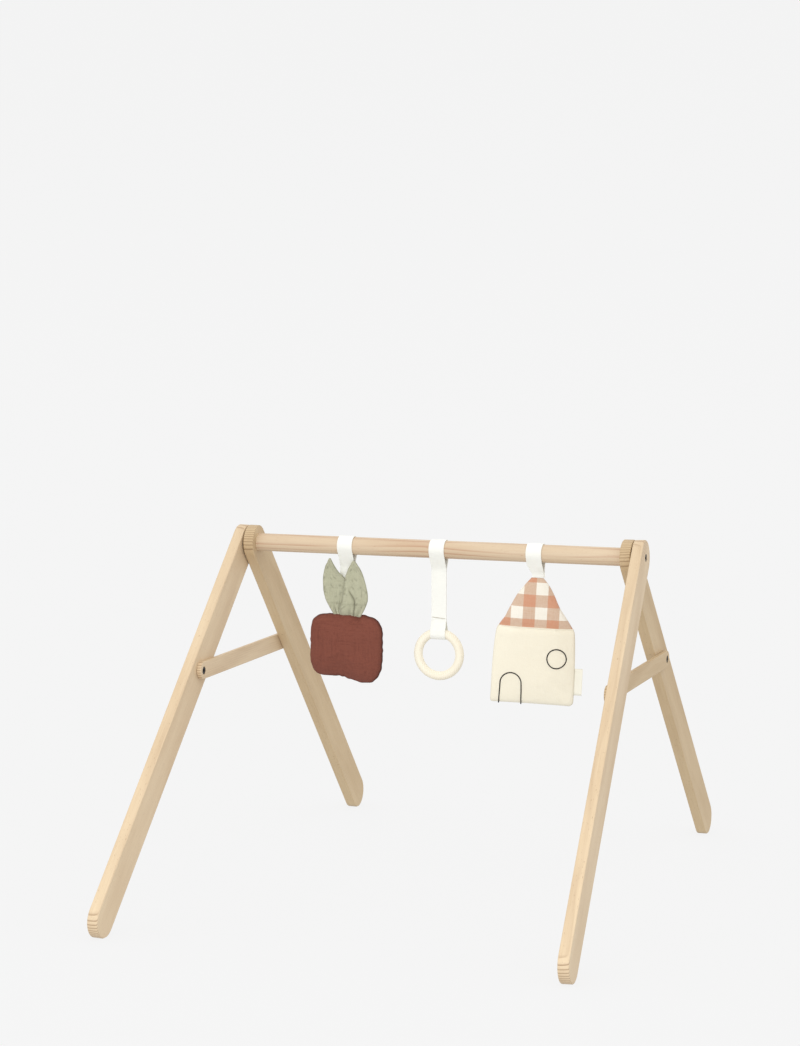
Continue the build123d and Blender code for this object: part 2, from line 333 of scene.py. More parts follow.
def shader_group(name: str, inputs: dict[str, str], outputs: dict[str, str]) -> tuple[Wiring, dict, bpy.types.Node]:
    """Start a shared node group.

    Args:
        name: The group's name.
        inputs: Socket types by input name.
        outputs: Socket types by output name.

    Returns:
        The group's wiring, its input sockets by name and its output node.
    """
    tree = bpy.data.node_groups.new(name, "ShaderNodeTree")
    for way, sockets in (("INPUT", inputs), ("OUTPUT", outputs)):
        for label, kind in sockets.items():
            tree.interface.new_socket(name=label, in_out=way, socket_type=kind)
    wiring = Wiring(tree)
    entry = wiring.add("NodeGroupInput")
    return wiring, {label: entry.outputs[label] for label in inputs}, wiring.add("NodeGroupOutput")


def grain_group() -> bpy.types.NodeTree:
    """The shared wood grain, in millimetres of a board's own frame with Z along the grain.

    Returns:
        A group whose outputs are Tone, Lines, Flecks and Height.
    """
    number, vector = "NodeSocketFloat", "NodeSocketVector"
    wiring, given, out = shader_group(
        "wood_grain",
        {
            "Position": vector, "Pith": vector, "Ring Spacing": number,
            "End": number, "Sway": number, "Side Lines": number,
        },
        {"Tone": number, "Lines": number, "Flecks": number, "Height": number},
    )
    place = wiring.vector("MULTIPLY", given["Position"], (1000, 1000, 1000))
    drift = wiring.add("ShaderNodeTexNoise", {
        "Vector": wiring.vector("MULTIPLY", place, (0.016, 0.016, 0.0035)), "Scale": 1.0, "Detail": 1.5})
    centred = wiring.vector("SUBTRACT", drift.outputs["Color"], (0.5, 0.5, 0.5))
    sway = wiring.add("ShaderNodeVectorMath", {0: centred, 3: given["Sway"]}, operation="SCALE").outputs[0]
    bent = wiring.vector("MULTIPLY", wiring.vector("ADD", wiring.vector("ADD", place, sway), given["Pith"]), (1, 1, 0))
    radius = wiring.add("ShaderNodeVectorMath", {0: bent}, operation="LENGTH").outputs["Value"]
    ring = wiring.math("FRACT", wiring.math("DIVIDE", radius, given["Ring Spacing"]))
    rise = wiring.span(ring, 0.45, 0.9)
    fall = wiring.span(ring, 0.9, 1.0, 1.0, 0.0)
    sharp = wiring.math("POWER", wiring.math("MULTIPLY", rise, fall), 2.0)
    patch = wiring.span(wiring.noise(place, (0.02, 0.05, 0.008), 1.0), 0.38, 0.62, 0.25, 1.0)
    side = wiring.math("MULTIPLY", wiring.math("MULTIPLY", sharp, patch), given["Side Lines"])
    lines = wiring.mix(given["End"], side, sharp)
    fibre = wiring.noise(place, (1.1, 1.1, 0.03), 3.0)
    fleck = wiring.span(wiring.noise(place, (0.7, 1.6, 0.22), 1.0), 0.68, 0.76)
    broad = wiring.noise(place, (0.03, 0.03, 0.006), 2.0)
    tone = wiring.math("ADD", wiring.math("MULTIPLY", broad, 0.6), wiring.math("MULTIPLY", fibre, 0.4))
    wiring.feed(out.inputs["Tone"], wiring.span(tone, 0.3, 0.7))
    wiring.feed(out.inputs["Lines"], lines)
    wiring.feed(out.inputs["Flecks"], fleck)
    wiring.feed(out.inputs["Height"], wiring.math("SUBTRACT", fibre, wiring.math("MULTIPLY", lines, 0.3)))
    return wiring.tree


def weave_group() -> bpy.types.NodeTree:
    """The shared plain weave, read across X and Y of a position in metres.

    Returns:
        A group whose outputs are Height, Slub and Crease.
    """
    number, vector = "NodeSocketFloat", "NodeSocketVector"
    wiring, given, out = shader_group(
        "plain_weave",
        {"Position": vector, "Thread": number},
        {"Height": number, "Slub": number, "Crease": number},
    )
    per_metre = wiring.math("DIVIDE", 1.0, given["Thread"])
    threads = wiring.add("ShaderNodeVectorMath", {0: given["Position"], 3: per_metre}, operation="SCALE").outputs[0]
    wobble = wiring.add("ShaderNodeTexNoise", {"Vector": threads, "Scale": 0.12, "Detail": 1.0})
    threads = wiring.vector("ADD", threads, wiring.vector("MULTIPLY", wobble.outputs["Color"], (0.9, 0.9, 0)))
    parts = wiring.add("ShaderNodeSeparateXYZ", {0: threads})
    warp = wiring.math("SINE", wiring.math("MULTIPLY", parts.outputs[0], math.pi))
    weft = wiring.math("SINE", wiring.math("MULTIPLY", parts.outputs[1], math.pi))
    bumps = wiring.math("ABSOLUTE", wiring.math("MULTIPLY", warp, weft))
    slub_warp = wiring.noise(threads, (0.5, 0.03, 1.0), 2.0)
    slub_weft = wiring.noise(threads, (0.03, 0.5, 1.0), 2.0)
    slub = wiring.span(wiring.math("ADD", slub_warp, slub_weft), 0.75, 1.25)
    crease = wiring.noise(given["Position"], (70, 70, 70), 3.0)
    wiring.feed(out.inputs["Height"], wiring.math("ADD", bumps, wiring.math("MULTIPLY", slub, 0.5)))
    wiring.feed(out.inputs["Slub"], slub)
    wiring.feed(out.inputs["Crease"], crease)
    return wiring.tree


def check_group() -> bpy.types.NodeTree:
    """A woven check: bands of dyed thread both ways, read across X and Y in metres.

    Returns:
        A group whose outputs are Single, where one band lies, and Double, where two cross.
    """
    number, vector = "NodeSocketFloat", "NodeSocketVector"
    wiring, given, out = shader_group(
        "woven_check",
        {"Position": vector, "Band": number, "Start": vector},
        {"Single": number, "Double": number},
    )
    shifted = wiring.vector("SUBTRACT", given["Position"], given["Start"])
    per_metre = wiring.math("DIVIDE", 0.5, given["Band"])
    pairs = wiring.add("ShaderNodeVectorMath", {0: shifted, 3: per_metre}, operation="SCALE")
    parts = wiring.add("ShaderNodeSeparateXYZ", {0: pairs.outputs[0]})
    bands = []
    for axis in (0, 1):
        phase = wiring.math("FRACT", parts.outputs[axis])
        up = wiring.span(phase, 0.0, 0.012)
        bands.append(wiring.math("MULTIPLY", up, wiring.span(phase, 0.5, 0.512, 1.0, 0.0)))
    both = wiring.math("MULTIPLY", bands[0], bands[1])
    wiring.feed(out.inputs["Single"], wiring.math("MAXIMUM", bands[0], bands[1]))
    wiring.feed(out.inputs["Double"], both)
    return wiring.tree


@dataclass(frozen=True)
class SharedEffects:
    """The node groups that more than one finish uses."""

    grain: bpy.types.NodeTree
    weave: bpy.types.NodeTree
    check: bpy.types.NodeTree


# -------------------------------------------------------------------- finishes
@dataclass(frozen=True)
class WoodFinish:
    """Sanded beech, with its growth rings, fibres and flecks."""

    pale: tuple
    deep: tuple
    line: tuple
    ring_spacing: float
    line_strength: float
    fleck_strength: float
    sway: float = 5.0
    side_lines: float = 0.3
    roughness: float = 0.55

    def material(
        self, effects: SharedEffects, name: str, place: Matrix, pith: tuple[float, float, float],
    ) -> bpy.types.Material:
        """Make this wood for one board.

        Args:
            effects: The shared node groups.
            name: The material's name.
            place: The board's own frame, with Z along its grain.
            pith: From the board to the middle of its log, in millimetres.

        Returns:
            The material.
        """
        material, wiring, shader = new_material(name)
        spot = wiring.add("ShaderNodeTexCoord").outputs["Object"]
        in_board = wiring.add(
            "ShaderNodeMapping",
            {"Vector": spot, "Location": place.to_translation(), "Rotation": place.to_euler("XYZ")},
            vector_type="TEXTURE",
        ).outputs[0]
        facing = wiring.add("ShaderNodeTexCoord").outputs["Normal"]
        along = wiring.add("ShaderNodeVectorMath", {0: facing, 1: place.to_3x3().col[2]}, operation="DOT_PRODUCT")
        end = wiring.span(wiring.math("ABSOLUTE", along.outputs["Value"]), 0.05, 0.4)
        grain = wiring.add("ShaderNodeGroup", node_tree=effects.grain)
        for label, value in (("Position", in_board), ("Pith", pith), ("Ring Spacing", self.ring_spacing), ("End", end),
                             ("Sway", self.sway), ("Side Lines", self.side_lines)):
            wiring.feed(grain.inputs[label], value)
        colour = wiring.mix(grain.outputs["Tone"], self.pale, self.deep)
        lined = wiring.math("MULTIPLY", grain.outputs["Lines"], self.line_strength, clamp=True)
        colour = wiring.mix(lined, colour, self.line)
        colour = wiring.mix(wiring.math("MULTIPLY", grain.outputs["Flecks"], self.fleck_strength), colour, self.line)
        wiring.feed(shader.inputs["Base Color"], colour)
        rough = wiring.span(grain.outputs["Tone"], 0, 1, self.roughness - 0.06, self.roughness + 0.08)
        wiring.feed(shader.inputs["Roughness"], rough)
        bump = wiring.add("ShaderNodeBump", {
            "Height": grain.outputs["Height"], "Strength": 0.25, "Distance": 0.15 * MM})
        wiring.feed(shader.inputs["Normal"], bump.outputs[0])
        shader.inputs["Specular IOR Level"].default_value = 0.35
        return material


class ClothLay(Enum):
    """Which coordinates a cloth's threads follow."""

    HANGING = "hanging"
    ALONG_TAPE = "along_tape"


@dataclass(frozen=True)
class ClothFinish:
    """A woven cloth: its colours, its thread and how much it creases."""

    name: str
    light: tuple
    deep: tuple
    # edge: the painted shade colour, laid where the seam attribute marks seams, hems and folds.
    edge: tuple
    thread: float
    weave_depth: float
    crease_depth: float
    contrast: float = 0.6
    sheen: float = 0.25
    lay: ClothLay = ClothLay.HANGING
    turn: Matrix = field(default_factory=lambda: Matrix.Identity(4))

    def material(self, effects: SharedEffects) -> bpy.types.Material:
        """Make this cloth.

        Args:
            effects: The shared node groups.

        Returns:
            The material.
        """
        material, wiring, shader = new_material(self.name)
        spot = self.position(wiring)
        weave = wiring.add("ShaderNodeGroup", node_tree=effects.weave)
        wiring.feed(weave.inputs["Position"], spot)
        wiring.feed(weave.inputs["Thread"], self.thread)
        # Painted shade: the low places between the threads are darkened towards the deep colour.
        raised = wiring.math("MULTIPLY", weave.outputs["Height"], self.contrast)
        shade = wiring.math("SUBTRACT", 1.0, raised, clamp=True)
        colour = self.dye(wiring, effects, spot, wiring.mix(shade, self.light, self.deep), weave.outputs["Slub"])
        # Painted shade: points marked in the seam attribute are darkened towards the edge colour.
        seam = wiring.add("ShaderNodeAttribute", attribute_name="seam").outputs["Fac"]
        wiring.feed(shader.inputs["Base Color"], wiring.mix(seam, colour, self.edge))
        fine = wiring.add("ShaderNodeBump", {
            "Height": weave.outputs["Height"], "Strength": 0.8, "Distance": self.weave_depth})
        soft = wiring.add("ShaderNodeBump", {
            "Height": weave.outputs["Crease"], "Strength": 0.8, "Distance": self.crease_depth,
            "Normal": fine.outputs[0]})
        wiring.feed(shader.inputs["Normal"], soft.outputs[0])
        wiring.feed(shader.inputs["Roughness"], wiring.span(weave.outputs["Slub"], 0, 1, 0.85, 0.97))
        shader.inputs["Sheen Weight"].default_value = self.sheen
        shader.inputs["Sheen Roughness"].default_value = 0.5
        shader.inputs["Specular IOR Level"].default_value = 0.2
        return material

    def position(self, wiring: Wiring) -> bpy.types.NodeSocket:
        """Where a point is on the cloth, as X across and Y up, in metres.

        Args:
            wiring: The material's wiring.

        Returns:
            The position socket.
        """
        if self.lay is ClothLay.ALONG_TAPE:
            return wiring.add("ShaderNodeAttribute", attribute_name="cloth_place").outputs["Vector"]
        spot = wiring.add("ShaderNodeTexCoord").outputs["Object"]
        flat = self.turn @ Matrix.Rotation(math.radians(90), 4, "X")
        inputs = {"Vector": spot, "Location": flat.to_translation(), "Rotation": flat.to_euler("XYZ")}
        return wiring.add("ShaderNodeMapping", inputs, vector_type="TEXTURE").outputs[0]

    def dye(
        self, wiring: Wiring, effects: SharedEffects, spot: bpy.types.NodeSocket,
        plain: bpy.types.NodeSocket, slub: bpy.types.NodeSocket,
    ) -> bpy.types.NodeSocket:
        """The cloth's colour before the painted shade at its seams; a plain cloth keeps its one dye, uneven by thread.
        """
        return wiring.mix(wiring.math("MULTIPLY", slub, 0.35), plain, self.deep)


@dataclass(frozen=True)
class CheckedCloth(ClothFinish):
    """A cloth woven in a check of one dye on a pale ground."""

    band: float = 16 * MM
    start: tuple = (0.0, 0.0, 0.0)
    single: tuple = (1, 1, 1, 1)
    double: tuple = (1, 1, 1, 1)

    def dye(
        self, wiring: Wiring, effects: SharedEffects, spot: bpy.types.NodeSocket,
        plain: bpy.types.NodeSocket, slub: bpy.types.NodeSocket,
    ) -> bpy.types.NodeSocket:
        """The ground, the single bands and the darker squares where bands cross."""
        check = wiring.add("ShaderNodeGroup", node_tree=effects.check)
        wiring.feed(check.inputs["Position"], spot)
        wiring.feed(check.inputs["Band"], self.band)
        wiring.feed(check.inputs["Start"], self.start)
        worn = wiring.span(slub, 0, 1, 1.0, 0.8)
        banded = wiring.mix(wiring.math("MULTIPLY", check.outputs["Single"], worn), plain, self.single)
        return wiring.mix(wiring.math("MULTIPLY", check.outputs["Double"], worn), banded, self.double)


@dataclass(frozen=True)
class MetalFinish:
    """A bolt's or an insert's metal, with fine marks from its making."""

    name: str
    colour: tuple
    worn: tuple
    metallic: float
    roughness: float

    def material(self) -> bpy.types.Material:
        """Make this metal."""
        material, wiring, shader = new_material(self.name)
        spot = wiring.add("ShaderNodeTexCoord").outputs["Object"]
        marks = wiring.noise(spot, (900, 900, 900), 3.0)
        wear = wiring.span(marks, 0.55, 0.75, 0, 0.5)
        wiring.feed(shader.inputs["Base Color"], wiring.mix(wear, self.colour, self.worn))
        rough = wiring.span(marks, 0.3, 0.7, self.roughness - 0.08, self.roughness + 0.08)
        wiring.feed(shader.inputs["Roughness"], rough)
        bump = wiring.add("ShaderNodeBump", {"Height": marks, "Strength": 0.3, "Distance": 0.02 * MM})
        wiring.feed(shader.inputs["Normal"], bump.outputs[0])
        shader.inputs["Metallic"].default_value = self.metallic
        return material


BEECH = WoodFinish(
    pale=paint(218, 197, 165), deep=paint(199, 174, 141), line=paint(142, 108, 78),
    ring_spacing=3.3, line_strength=1.0, fleck_strength=0.42, side_lines=0.22,
)
# The same beech darkened as a painted shade for the back legs and right brace; the real boards are one wood.
PAINTED_SHADE_BEECH = replace(BEECH, pale=paint(203, 180, 143), deep=paint(185, 159, 122), line=paint(132, 100, 71))
BAR_BEECH = WoodFinish(
    pale=paint(210, 190, 162), deep=paint(196, 171, 141), line=paint(167, 114, 86),
    ring_spacing=6.5, line_strength=0.8, fleck_strength=0.35, sway=22.0, side_lines=1.0, roughness=0.48,
)
RING_WOOD = WoodFinish(
    pale=paint(239, 233, 216), deep=paint(233, 225, 205), line=paint(214, 196, 164),
    ring_spacing=2.6, line_strength=0.5, fleck_strength=0.12, roughness=0.5,
)
BLACK_STEEL = MetalFinish("black_steel", paint(30, 30, 31), paint(60, 60, 62), 0.6, 0.42)
INSERT_BRASS = MetalFinish("insert_brass", paint(196, 164, 96), paint(160, 130, 80), 1.0, 0.35)
IVORY_TAPE = ClothFinish(
    "ivory_tape", light=paint(252, 252, 250), deep=paint(236, 236, 228), edge=paint(222, 218, 204),
    thread=0.55 * MM, weave_depth=0.12 * MM, crease_depth=0.25 * MM, contrast=0.35, lay=ClothLay.ALONG_TAPE,
)
# The muslin's edge colour is the painted shade along the apple's seam.
TERRACOTTA_MUSLIN = ClothFinish(
    "terracotta_muslin", light=paint(164, 102, 84), deep=paint(90, 42, 33), edge=paint(62, 26, 20),
    thread=1.15 * MM, weave_depth=0.35 * MM, crease_depth=1.0 * MM, contrast=0.7, sheen=0.0,
)
# The gauze's edge colour is the painted shade in the leaves' hems, gathers, stitched rows, wrinkles and folds.
SAGE_GAUZE = ClothFinish(
    "sage_gauze", light=paint(226, 225, 200), deep=paint(152, 152, 124), edge=paint(66, 61, 44),
    thread=0.9 * MM, weave_depth=0.25 * MM, crease_depth=1.8 * MM, contrast=0.62,
)
TAG_TAPE = ClothFinish(
    "tag_tape", light=paint(247, 246, 236), deep=paint(236, 233, 218), edge=paint(222, 218, 204),
    thread=0.45 * MM, weave_depth=0.08 * MM, crease_depth=0.2 * MM, contrast=0.3,
)
SEWING_THREAD = ClothFinish(
    "sewing_thread", light=paint(196, 188, 168), deep=paint(160, 150, 130), edge=paint(160, 150, 130),
    thread=0.5 * MM, weave_depth=0.1 * MM, crease_depth=0.1 * MM,
)
EMBROIDERY_THREAD = ClothFinish(
    "embroidery_thread", light=paint(34, 27, 25), deep=paint(16, 12, 10), edge=paint(16, 12, 10),
    thread=0.5 * MM, weave_depth=0.1 * MM, crease_depth=0.1 * MM, sheen=0.0,
)


# ------------------------------------------------------------------- the frame
@dataclass
class WoodFrame:
    """The bolted wooden frame, the teething ring and the places of their grain."""

    pivot_height: float = 471 * MM
    leg_angle: float = math.radians(43.6)
    back_lean: float = math.radians(0.85)
    front_lean: float = math.radians(2.155)
    back_x: float = 275 * MM
    front_x: float = 290.9 * MM
    sides: dict[str, int] = field(default_factory=lambda: {"left": -1, "right": 1})

    def leg_frame(self, side: int, back: bool) -> Matrix:
        """A leg's own frame: X through its thickness, Y across it and Z along it.

        Args:
            side: -1 on the left and 1 on the right.
            back: Whether it is a back leg.

        Returns:
            The frame, at the leg's upper end.
        """
        spread = self.leg_angle if back else -self.leg_angle
        lean = self.back_lean if back else self.front_lean
        across = side * (self.back_x if back else self.front_x)
        place = Matrix.Translation((across, 0, self.pivot_height)) @ Matrix.Rotation(spread, 4, "X")
        return place @ Matrix.Rotation(-side * lean, 4, "Y")

    def dress(self, effects: SharedEffects) -> None:
        """Give every board, bolt and insert its finish."""
        along_x = Matrix.Rotation(math.radians(90), 4, "Y")
        along_y = Matrix.Rotation(math.radians(-90), 4, "X")
        bar_middle = Matrix.Translation(middle("bar"))
        self.paint_node("bar", BAR_BEECH.material(effects, "bar_beech", bar_middle @ along_x, (16, 22, 0)))
        for number, (name, side) in enumerate(self.sides.items()):
            for back in (True, False):
                node = f"{name}_{'back' if back else 'front'}_leg"
                pith = (5 + 3 * number, 128 + 37 * number - (290 if back else 0), 0)
                # The back legs get the beech with painted shade.
                wood = PAINTED_SHADE_BEECH if back else BEECH
                self.paint_node(node, wood.material(effects, node + "_beech", self.leg_frame(side, back), pith))
            node = name + "_brace"
            brace = Matrix.Translation(middle(node)) @ along_y
            # The right brace gets the beech with painted shade.
            wood = PAINTED_SHADE_BEECH if side > 0 else BEECH
            self.paint_node(node, wood.material(effects, node + "_beech", brace, (4, 90 + 30 * number, 0)))
        ring = Matrix.Translation(middle("ring"))
        self.paint_node("ring", RING_WOOD.material(effects, "ring_wood", ring, (120, 15, 0)))
        black, brass = BLACK_STEEL.material(), INSERT_BRASS.material()
        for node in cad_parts:
            if node.endswith("_bolt"):
                self.paint_node(node, black)
            elif node.endswith("_insert"):
                self.paint_node(node, brass)

    def paint_node(self, node: str, material: bpy.types.Material) -> None:
        """Put a finish on a CAD node."""
        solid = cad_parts[node]
        solid.data.materials.clear()
        solid.data.materials.append(material)
        LOG.info("finished %s", node)


# ------------------------------------------------------------------- the tapes
LAYER_ROOM = 0.03 * MM


@dataclass
class TapeRunner:
    """Lays a flat tape by pushing its leading edge along a path."""

    width: float
    across: int = 6
    along: float = 0.0
    bm: bmesh.types.BMesh = field(default_factory=bmesh.new)

    def start(self, place: Vector) -> None:
        """Set the tape's first edge, which lies along X."""
        self.spots = self.bm.verts.layers.float_vector.new("cloth_place")
        half = Vector((self.width / 2, 0, 0))
        ends = [self.bm.verts.new(place - half), self.bm.verts.new(place + half)]
        edge = self.bm.edges.new(ends)
        bmesh.ops.subdivide_edges(self.bm, edges=[edge], cuts=self.across - 1)
        self.middle_x = place.x
        self.edges = list(self.bm.edges)
        self.note(list(self.bm.verts))

    def note(self, verts: list[bmesh.types.BMVert]) -> None:
        """Write where points are on the tape."""
        for vert in verts:
            vert[self.spots] = Vector((vert.co.x - self.middle_x, self.along, 0))

    def push(self, step: Matrix, length: float) -> None:
        """Carry the leading edge on by one step.

        Args:
            step: The move in the row frame.
            length: How much tape it lays.
        """
        verts, self.edges = carry_on(self.bm, self.edges, step)
        self.along += length
        self.note(verts)

    def straight(self, move: Vector, count: int) -> None:
        """Lay a straight run in a number of equal steps."""
        for _ in range(count):
            self.push(Matrix.Translation(move / count), move.length / count)

    def around(self, centre: Vector, angle: float, radius: float, count: int) -> None:
        """Lay a run round a line along X, in a number of equal steps."""
        turn = Matrix.Rotation(angle / count, 4, "X")
        step = Matrix.Translation(centre) @ turn @ Matrix.Translation(-centre)
        for _ in range(count):
            self.push(step, abs(angle) * radius / count)


@dataclass
class BarTape:
    """A tape folded over the bar, with its two layers meeting below."""

    name: str
    node: str
    body: str
    toy: str
    drop: float
    end_width: float
    end_turn: float = 0.0
    end_shift: float = 0.0
    layer_slip: float = 0.0
    width: float = 22 * MM
    thickness: float = 1.05 * MM
    bar_radius: float = 12.5 * MM
    slack: float = 0.35 * MM
    meeting: float = 28 * MM
    bend_from: float = 10 * MM
    bend_to: float = 34 * MM

    @property
    def axis(self) -> Vector:
        """The bar's axis at the middle of this tape."""
        return Vector((middle(self.node).x, 0, middle("bar").z))

    @property
    def gap(self) -> float:
        """Half the distance between the middles of the two layers where they meet."""
        return self.thickness / 2 + LAYER_ROOM

    @property
    def wrap(self) -> float:
        """The radius of the tape's middle round the bar."""
        return self.bar_radius + self.slack + self.thickness / 2

    def tangent(self, drop: float) -> Vector:
        """Where the straight front layer touches the tape's circle round the bar.

        Args:
            drop: From the bar's axis down to the layer's lower end.

        Returns:
            The touching point, from the axis.
        """
        reach = math.hypot(drop, self.gap)
        lift = math.atan2(-drop, -self.gap) - math.acos(self.wrap / reach)
        return Vector((0, math.cos(lift), math.sin(lift))) * self.wrap

    def lay(self) -> bmesh.types.BMesh:
        """Lay the tape from its front end, over the bar, to its back end.

        Returns:
            The tape as one thin strip.
        """
        half, radius = self.gap, self.wrap
        meeting = min(self.meeting, self.drop - 1 * MM)
        touch = self.tangent(meeting)
        runner = TapeRunner(self.width)
        runner.start(self.axis + Vector((0, -half, -self.drop)))
        tail = self.drop - meeting
        runner.straight(Vector((0, 0, tail)), max(2, round(tail / (4 * MM))))
        runner.straight(touch - Vector((0, -half, -meeting)), 6)
        bottom = math.atan2(touch.z, -touch.y)
        runner.around(self.axis, -(math.pi - 2 * bottom), radius, 26)
        runner.straight(Vector((0, half, -meeting)) - Vector((0, -touch.y, touch.z)), 6)
        runner.straight(Vector((0, 0, -tail)), max(2, round(tail / (4 * MM))))
        return runner.bm

    def shape(self, bm: bmesh.types.BMesh) -> None:
        """Gather the tape towards its sewn end, and let it hang a little unevenly."""
        axis = self.axis
        for vert in bm.verts:
            drop = axis.z - vert.co.z
            share = smoothstep(self.bar_radius, self.drop, drop)
            wide = 1 + share * (self.end_width / self.width - 1)
            turn = Matrix.Rotation(self.end_turn * share, 4, "Z")
            offset = vert.co - axis
            slip = self.end_shift * share + (self.layer_slip * share if offset.y > 0 else 0)
            spot = turn @ Vector((offset.x * wide + slip, offset.y, 0))
            wave = noise.noise(Vector((offset.x, 0, offset.z)) * 45) * 0.5 * MM * smoothstep(0, 20 * MM, drop)
            vert.co = axis + Vector((spot.x, spot.y + wave, offset.z))

    def build(self, material: bpy.types.Material) -> bpy.types.Object:
        """Make the tape, and hide its CAD node.

        Args:
            material: The tape's finish.

        Returns:
            The tape.
        """
        bm = self.lay()
        self.shape(bm)
        piece = self.finish(bm, material)
        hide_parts(self.node)
        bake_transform(piece)
        LOG.info("sewed %s", self.name)
        return piece

    def finish(self, bm: bmesh.types.BMesh, material: bpy.types.Material) -> bpy.types.Object:
        """Give the strip its thickness and soften its edges."""
        bmesh.ops.recalc_face_normals(bm, faces=bm.faces)
        piece = new_piece(self.name, bm, material)
        wall = piece.modifiers.new("thickness", "SOLIDIFY")
        wall.thickness, wall.offset = self.thickness, 0
        softened = piece.modifiers.new("softened", "BEVEL")
        softened.width, softened.segments, softened.limit_method = 0.25 * MM, 2, "ANGLE"
        settle(piece)
        return piece


@dataclass
class RingTape(BarTape):
    """The long tape whose lower loop holds the teething ring."""

    stitches: float = 96 * MM
    stitch_slant: float = 1.6 * MM
    sewn: float = 3 * MM
    ring_top: float = 116.8 * MM
    sag: float = 2.1 * MM
    ring_section: float = 6.1 * MM

    def lay(self) -> bmesh.types.BMesh:
        """Lay the tape from its stitched line down, round the ring, up, over the bar and back.

        Returns:
            The tape as one closed band.
        """
        half, radius = self.gap, self.wrap
        small = self.ring_section + self.slack + self.thickness / 2
        low = self.ring_top + self.sag
        close = self.stitches + self.sewn
        touch = self.tangent(self.meeting)
        drop = self.ring_top - close
        slope = math.asin((small - half) / math.hypot(drop, small))
        side = Vector((0, -small * math.cos(slope), small * math.sin(slope)))
        runner = TapeRunner(self.width)
        runner.start(self.axis + Vector((0, -half, -close)))
        runner.straight(Vector((0, side.y, side.z - self.ring_top)) - Vector((0, -half, -close)), 5)
        runner.straight(Vector((0, 0, -self.sag)), 1)
        runner.around(self.axis - Vector((0, 0, low)), math.pi + 2 * slope, small, 16)
        runner.straight(Vector((0, 0, self.sag)), 1)
        runner.straight(Vector((0, half, -close)) - Vector((0, -side.y, side.z - self.ring_top)), 5)
        tail = close - self.meeting
        runner.straight(Vector((0, 0, tail)), 18)
        runner.straight(Vector((0, -touch.y, touch.z)) - Vector((0, half, -self.meeting)), 6)
        bottom = math.atan2(touch.z, -touch.y)
        runner.around(self.axis, math.pi - 2 * bottom, radius, 26)
        runner.straight(Vector((0, -half, -self.meeting)) - touch, 6)
        runner.straight(Vector((0, 0, -tail)), 18)
        bmesh.ops.remove_doubles(runner.bm, verts=runner.bm.verts, dist=0.02 * MM)
        return runner.bm

    def stitch(self, thread: bpy.types.Material) -> None:
        """Sew the line that closes the lower loop, on the front of the tape."""
        bm = bmesh.new()
        ends = []
        for side in (-1, 1):
            offset = Vector((side * 9.6 * MM, -1.15 * MM, -self.stitches - side * self.stitch_slant / 2))
            ends.append(bm.verts.new(self.axis + offset))
        bm.edges.new(ends)
        thread_line("ring_tape_stitching", bm, 0.35 * MM, thread, "teething_ring")


# -------------------------------------------------------------------- the toys
@dataclass
class SewnPad:
    """Two panels sewn edge to edge: a square sheet moulded to an outline, and its mirror."""

    segments: int = 44

    def sheet(self) -> bmesh.types.BMesh:
        """A flat square from -1 to 1 in X and Z, in even quads."""
        bm = bmesh.new()
        bmesh.ops.create_grid(bm, x_segments=self.segments, y_segments=self.segments, size=1)
        bmesh.ops.rotate(bm, verts=bm.verts, cent=(0, 0, 0), matrix=Matrix.Rotation(math.radians(90), 3, "X"))
        return bm

    def close(self, bm: bmesh.types.BMesh) -> None:
        """Mirror the front panel to the back, and join the two at their edges."""
        bmesh.ops.mirror(bm, geom=bm.verts[:] + bm.edges[:] + bm.faces[:], merge_dist=0.001 * MM, axis="Y")
        bmesh.ops.remove_doubles(bm, verts=bm.verts, dist=0.01 * MM)
        bmesh.ops.recalc_face_normals(bm, faces=bm.faces)


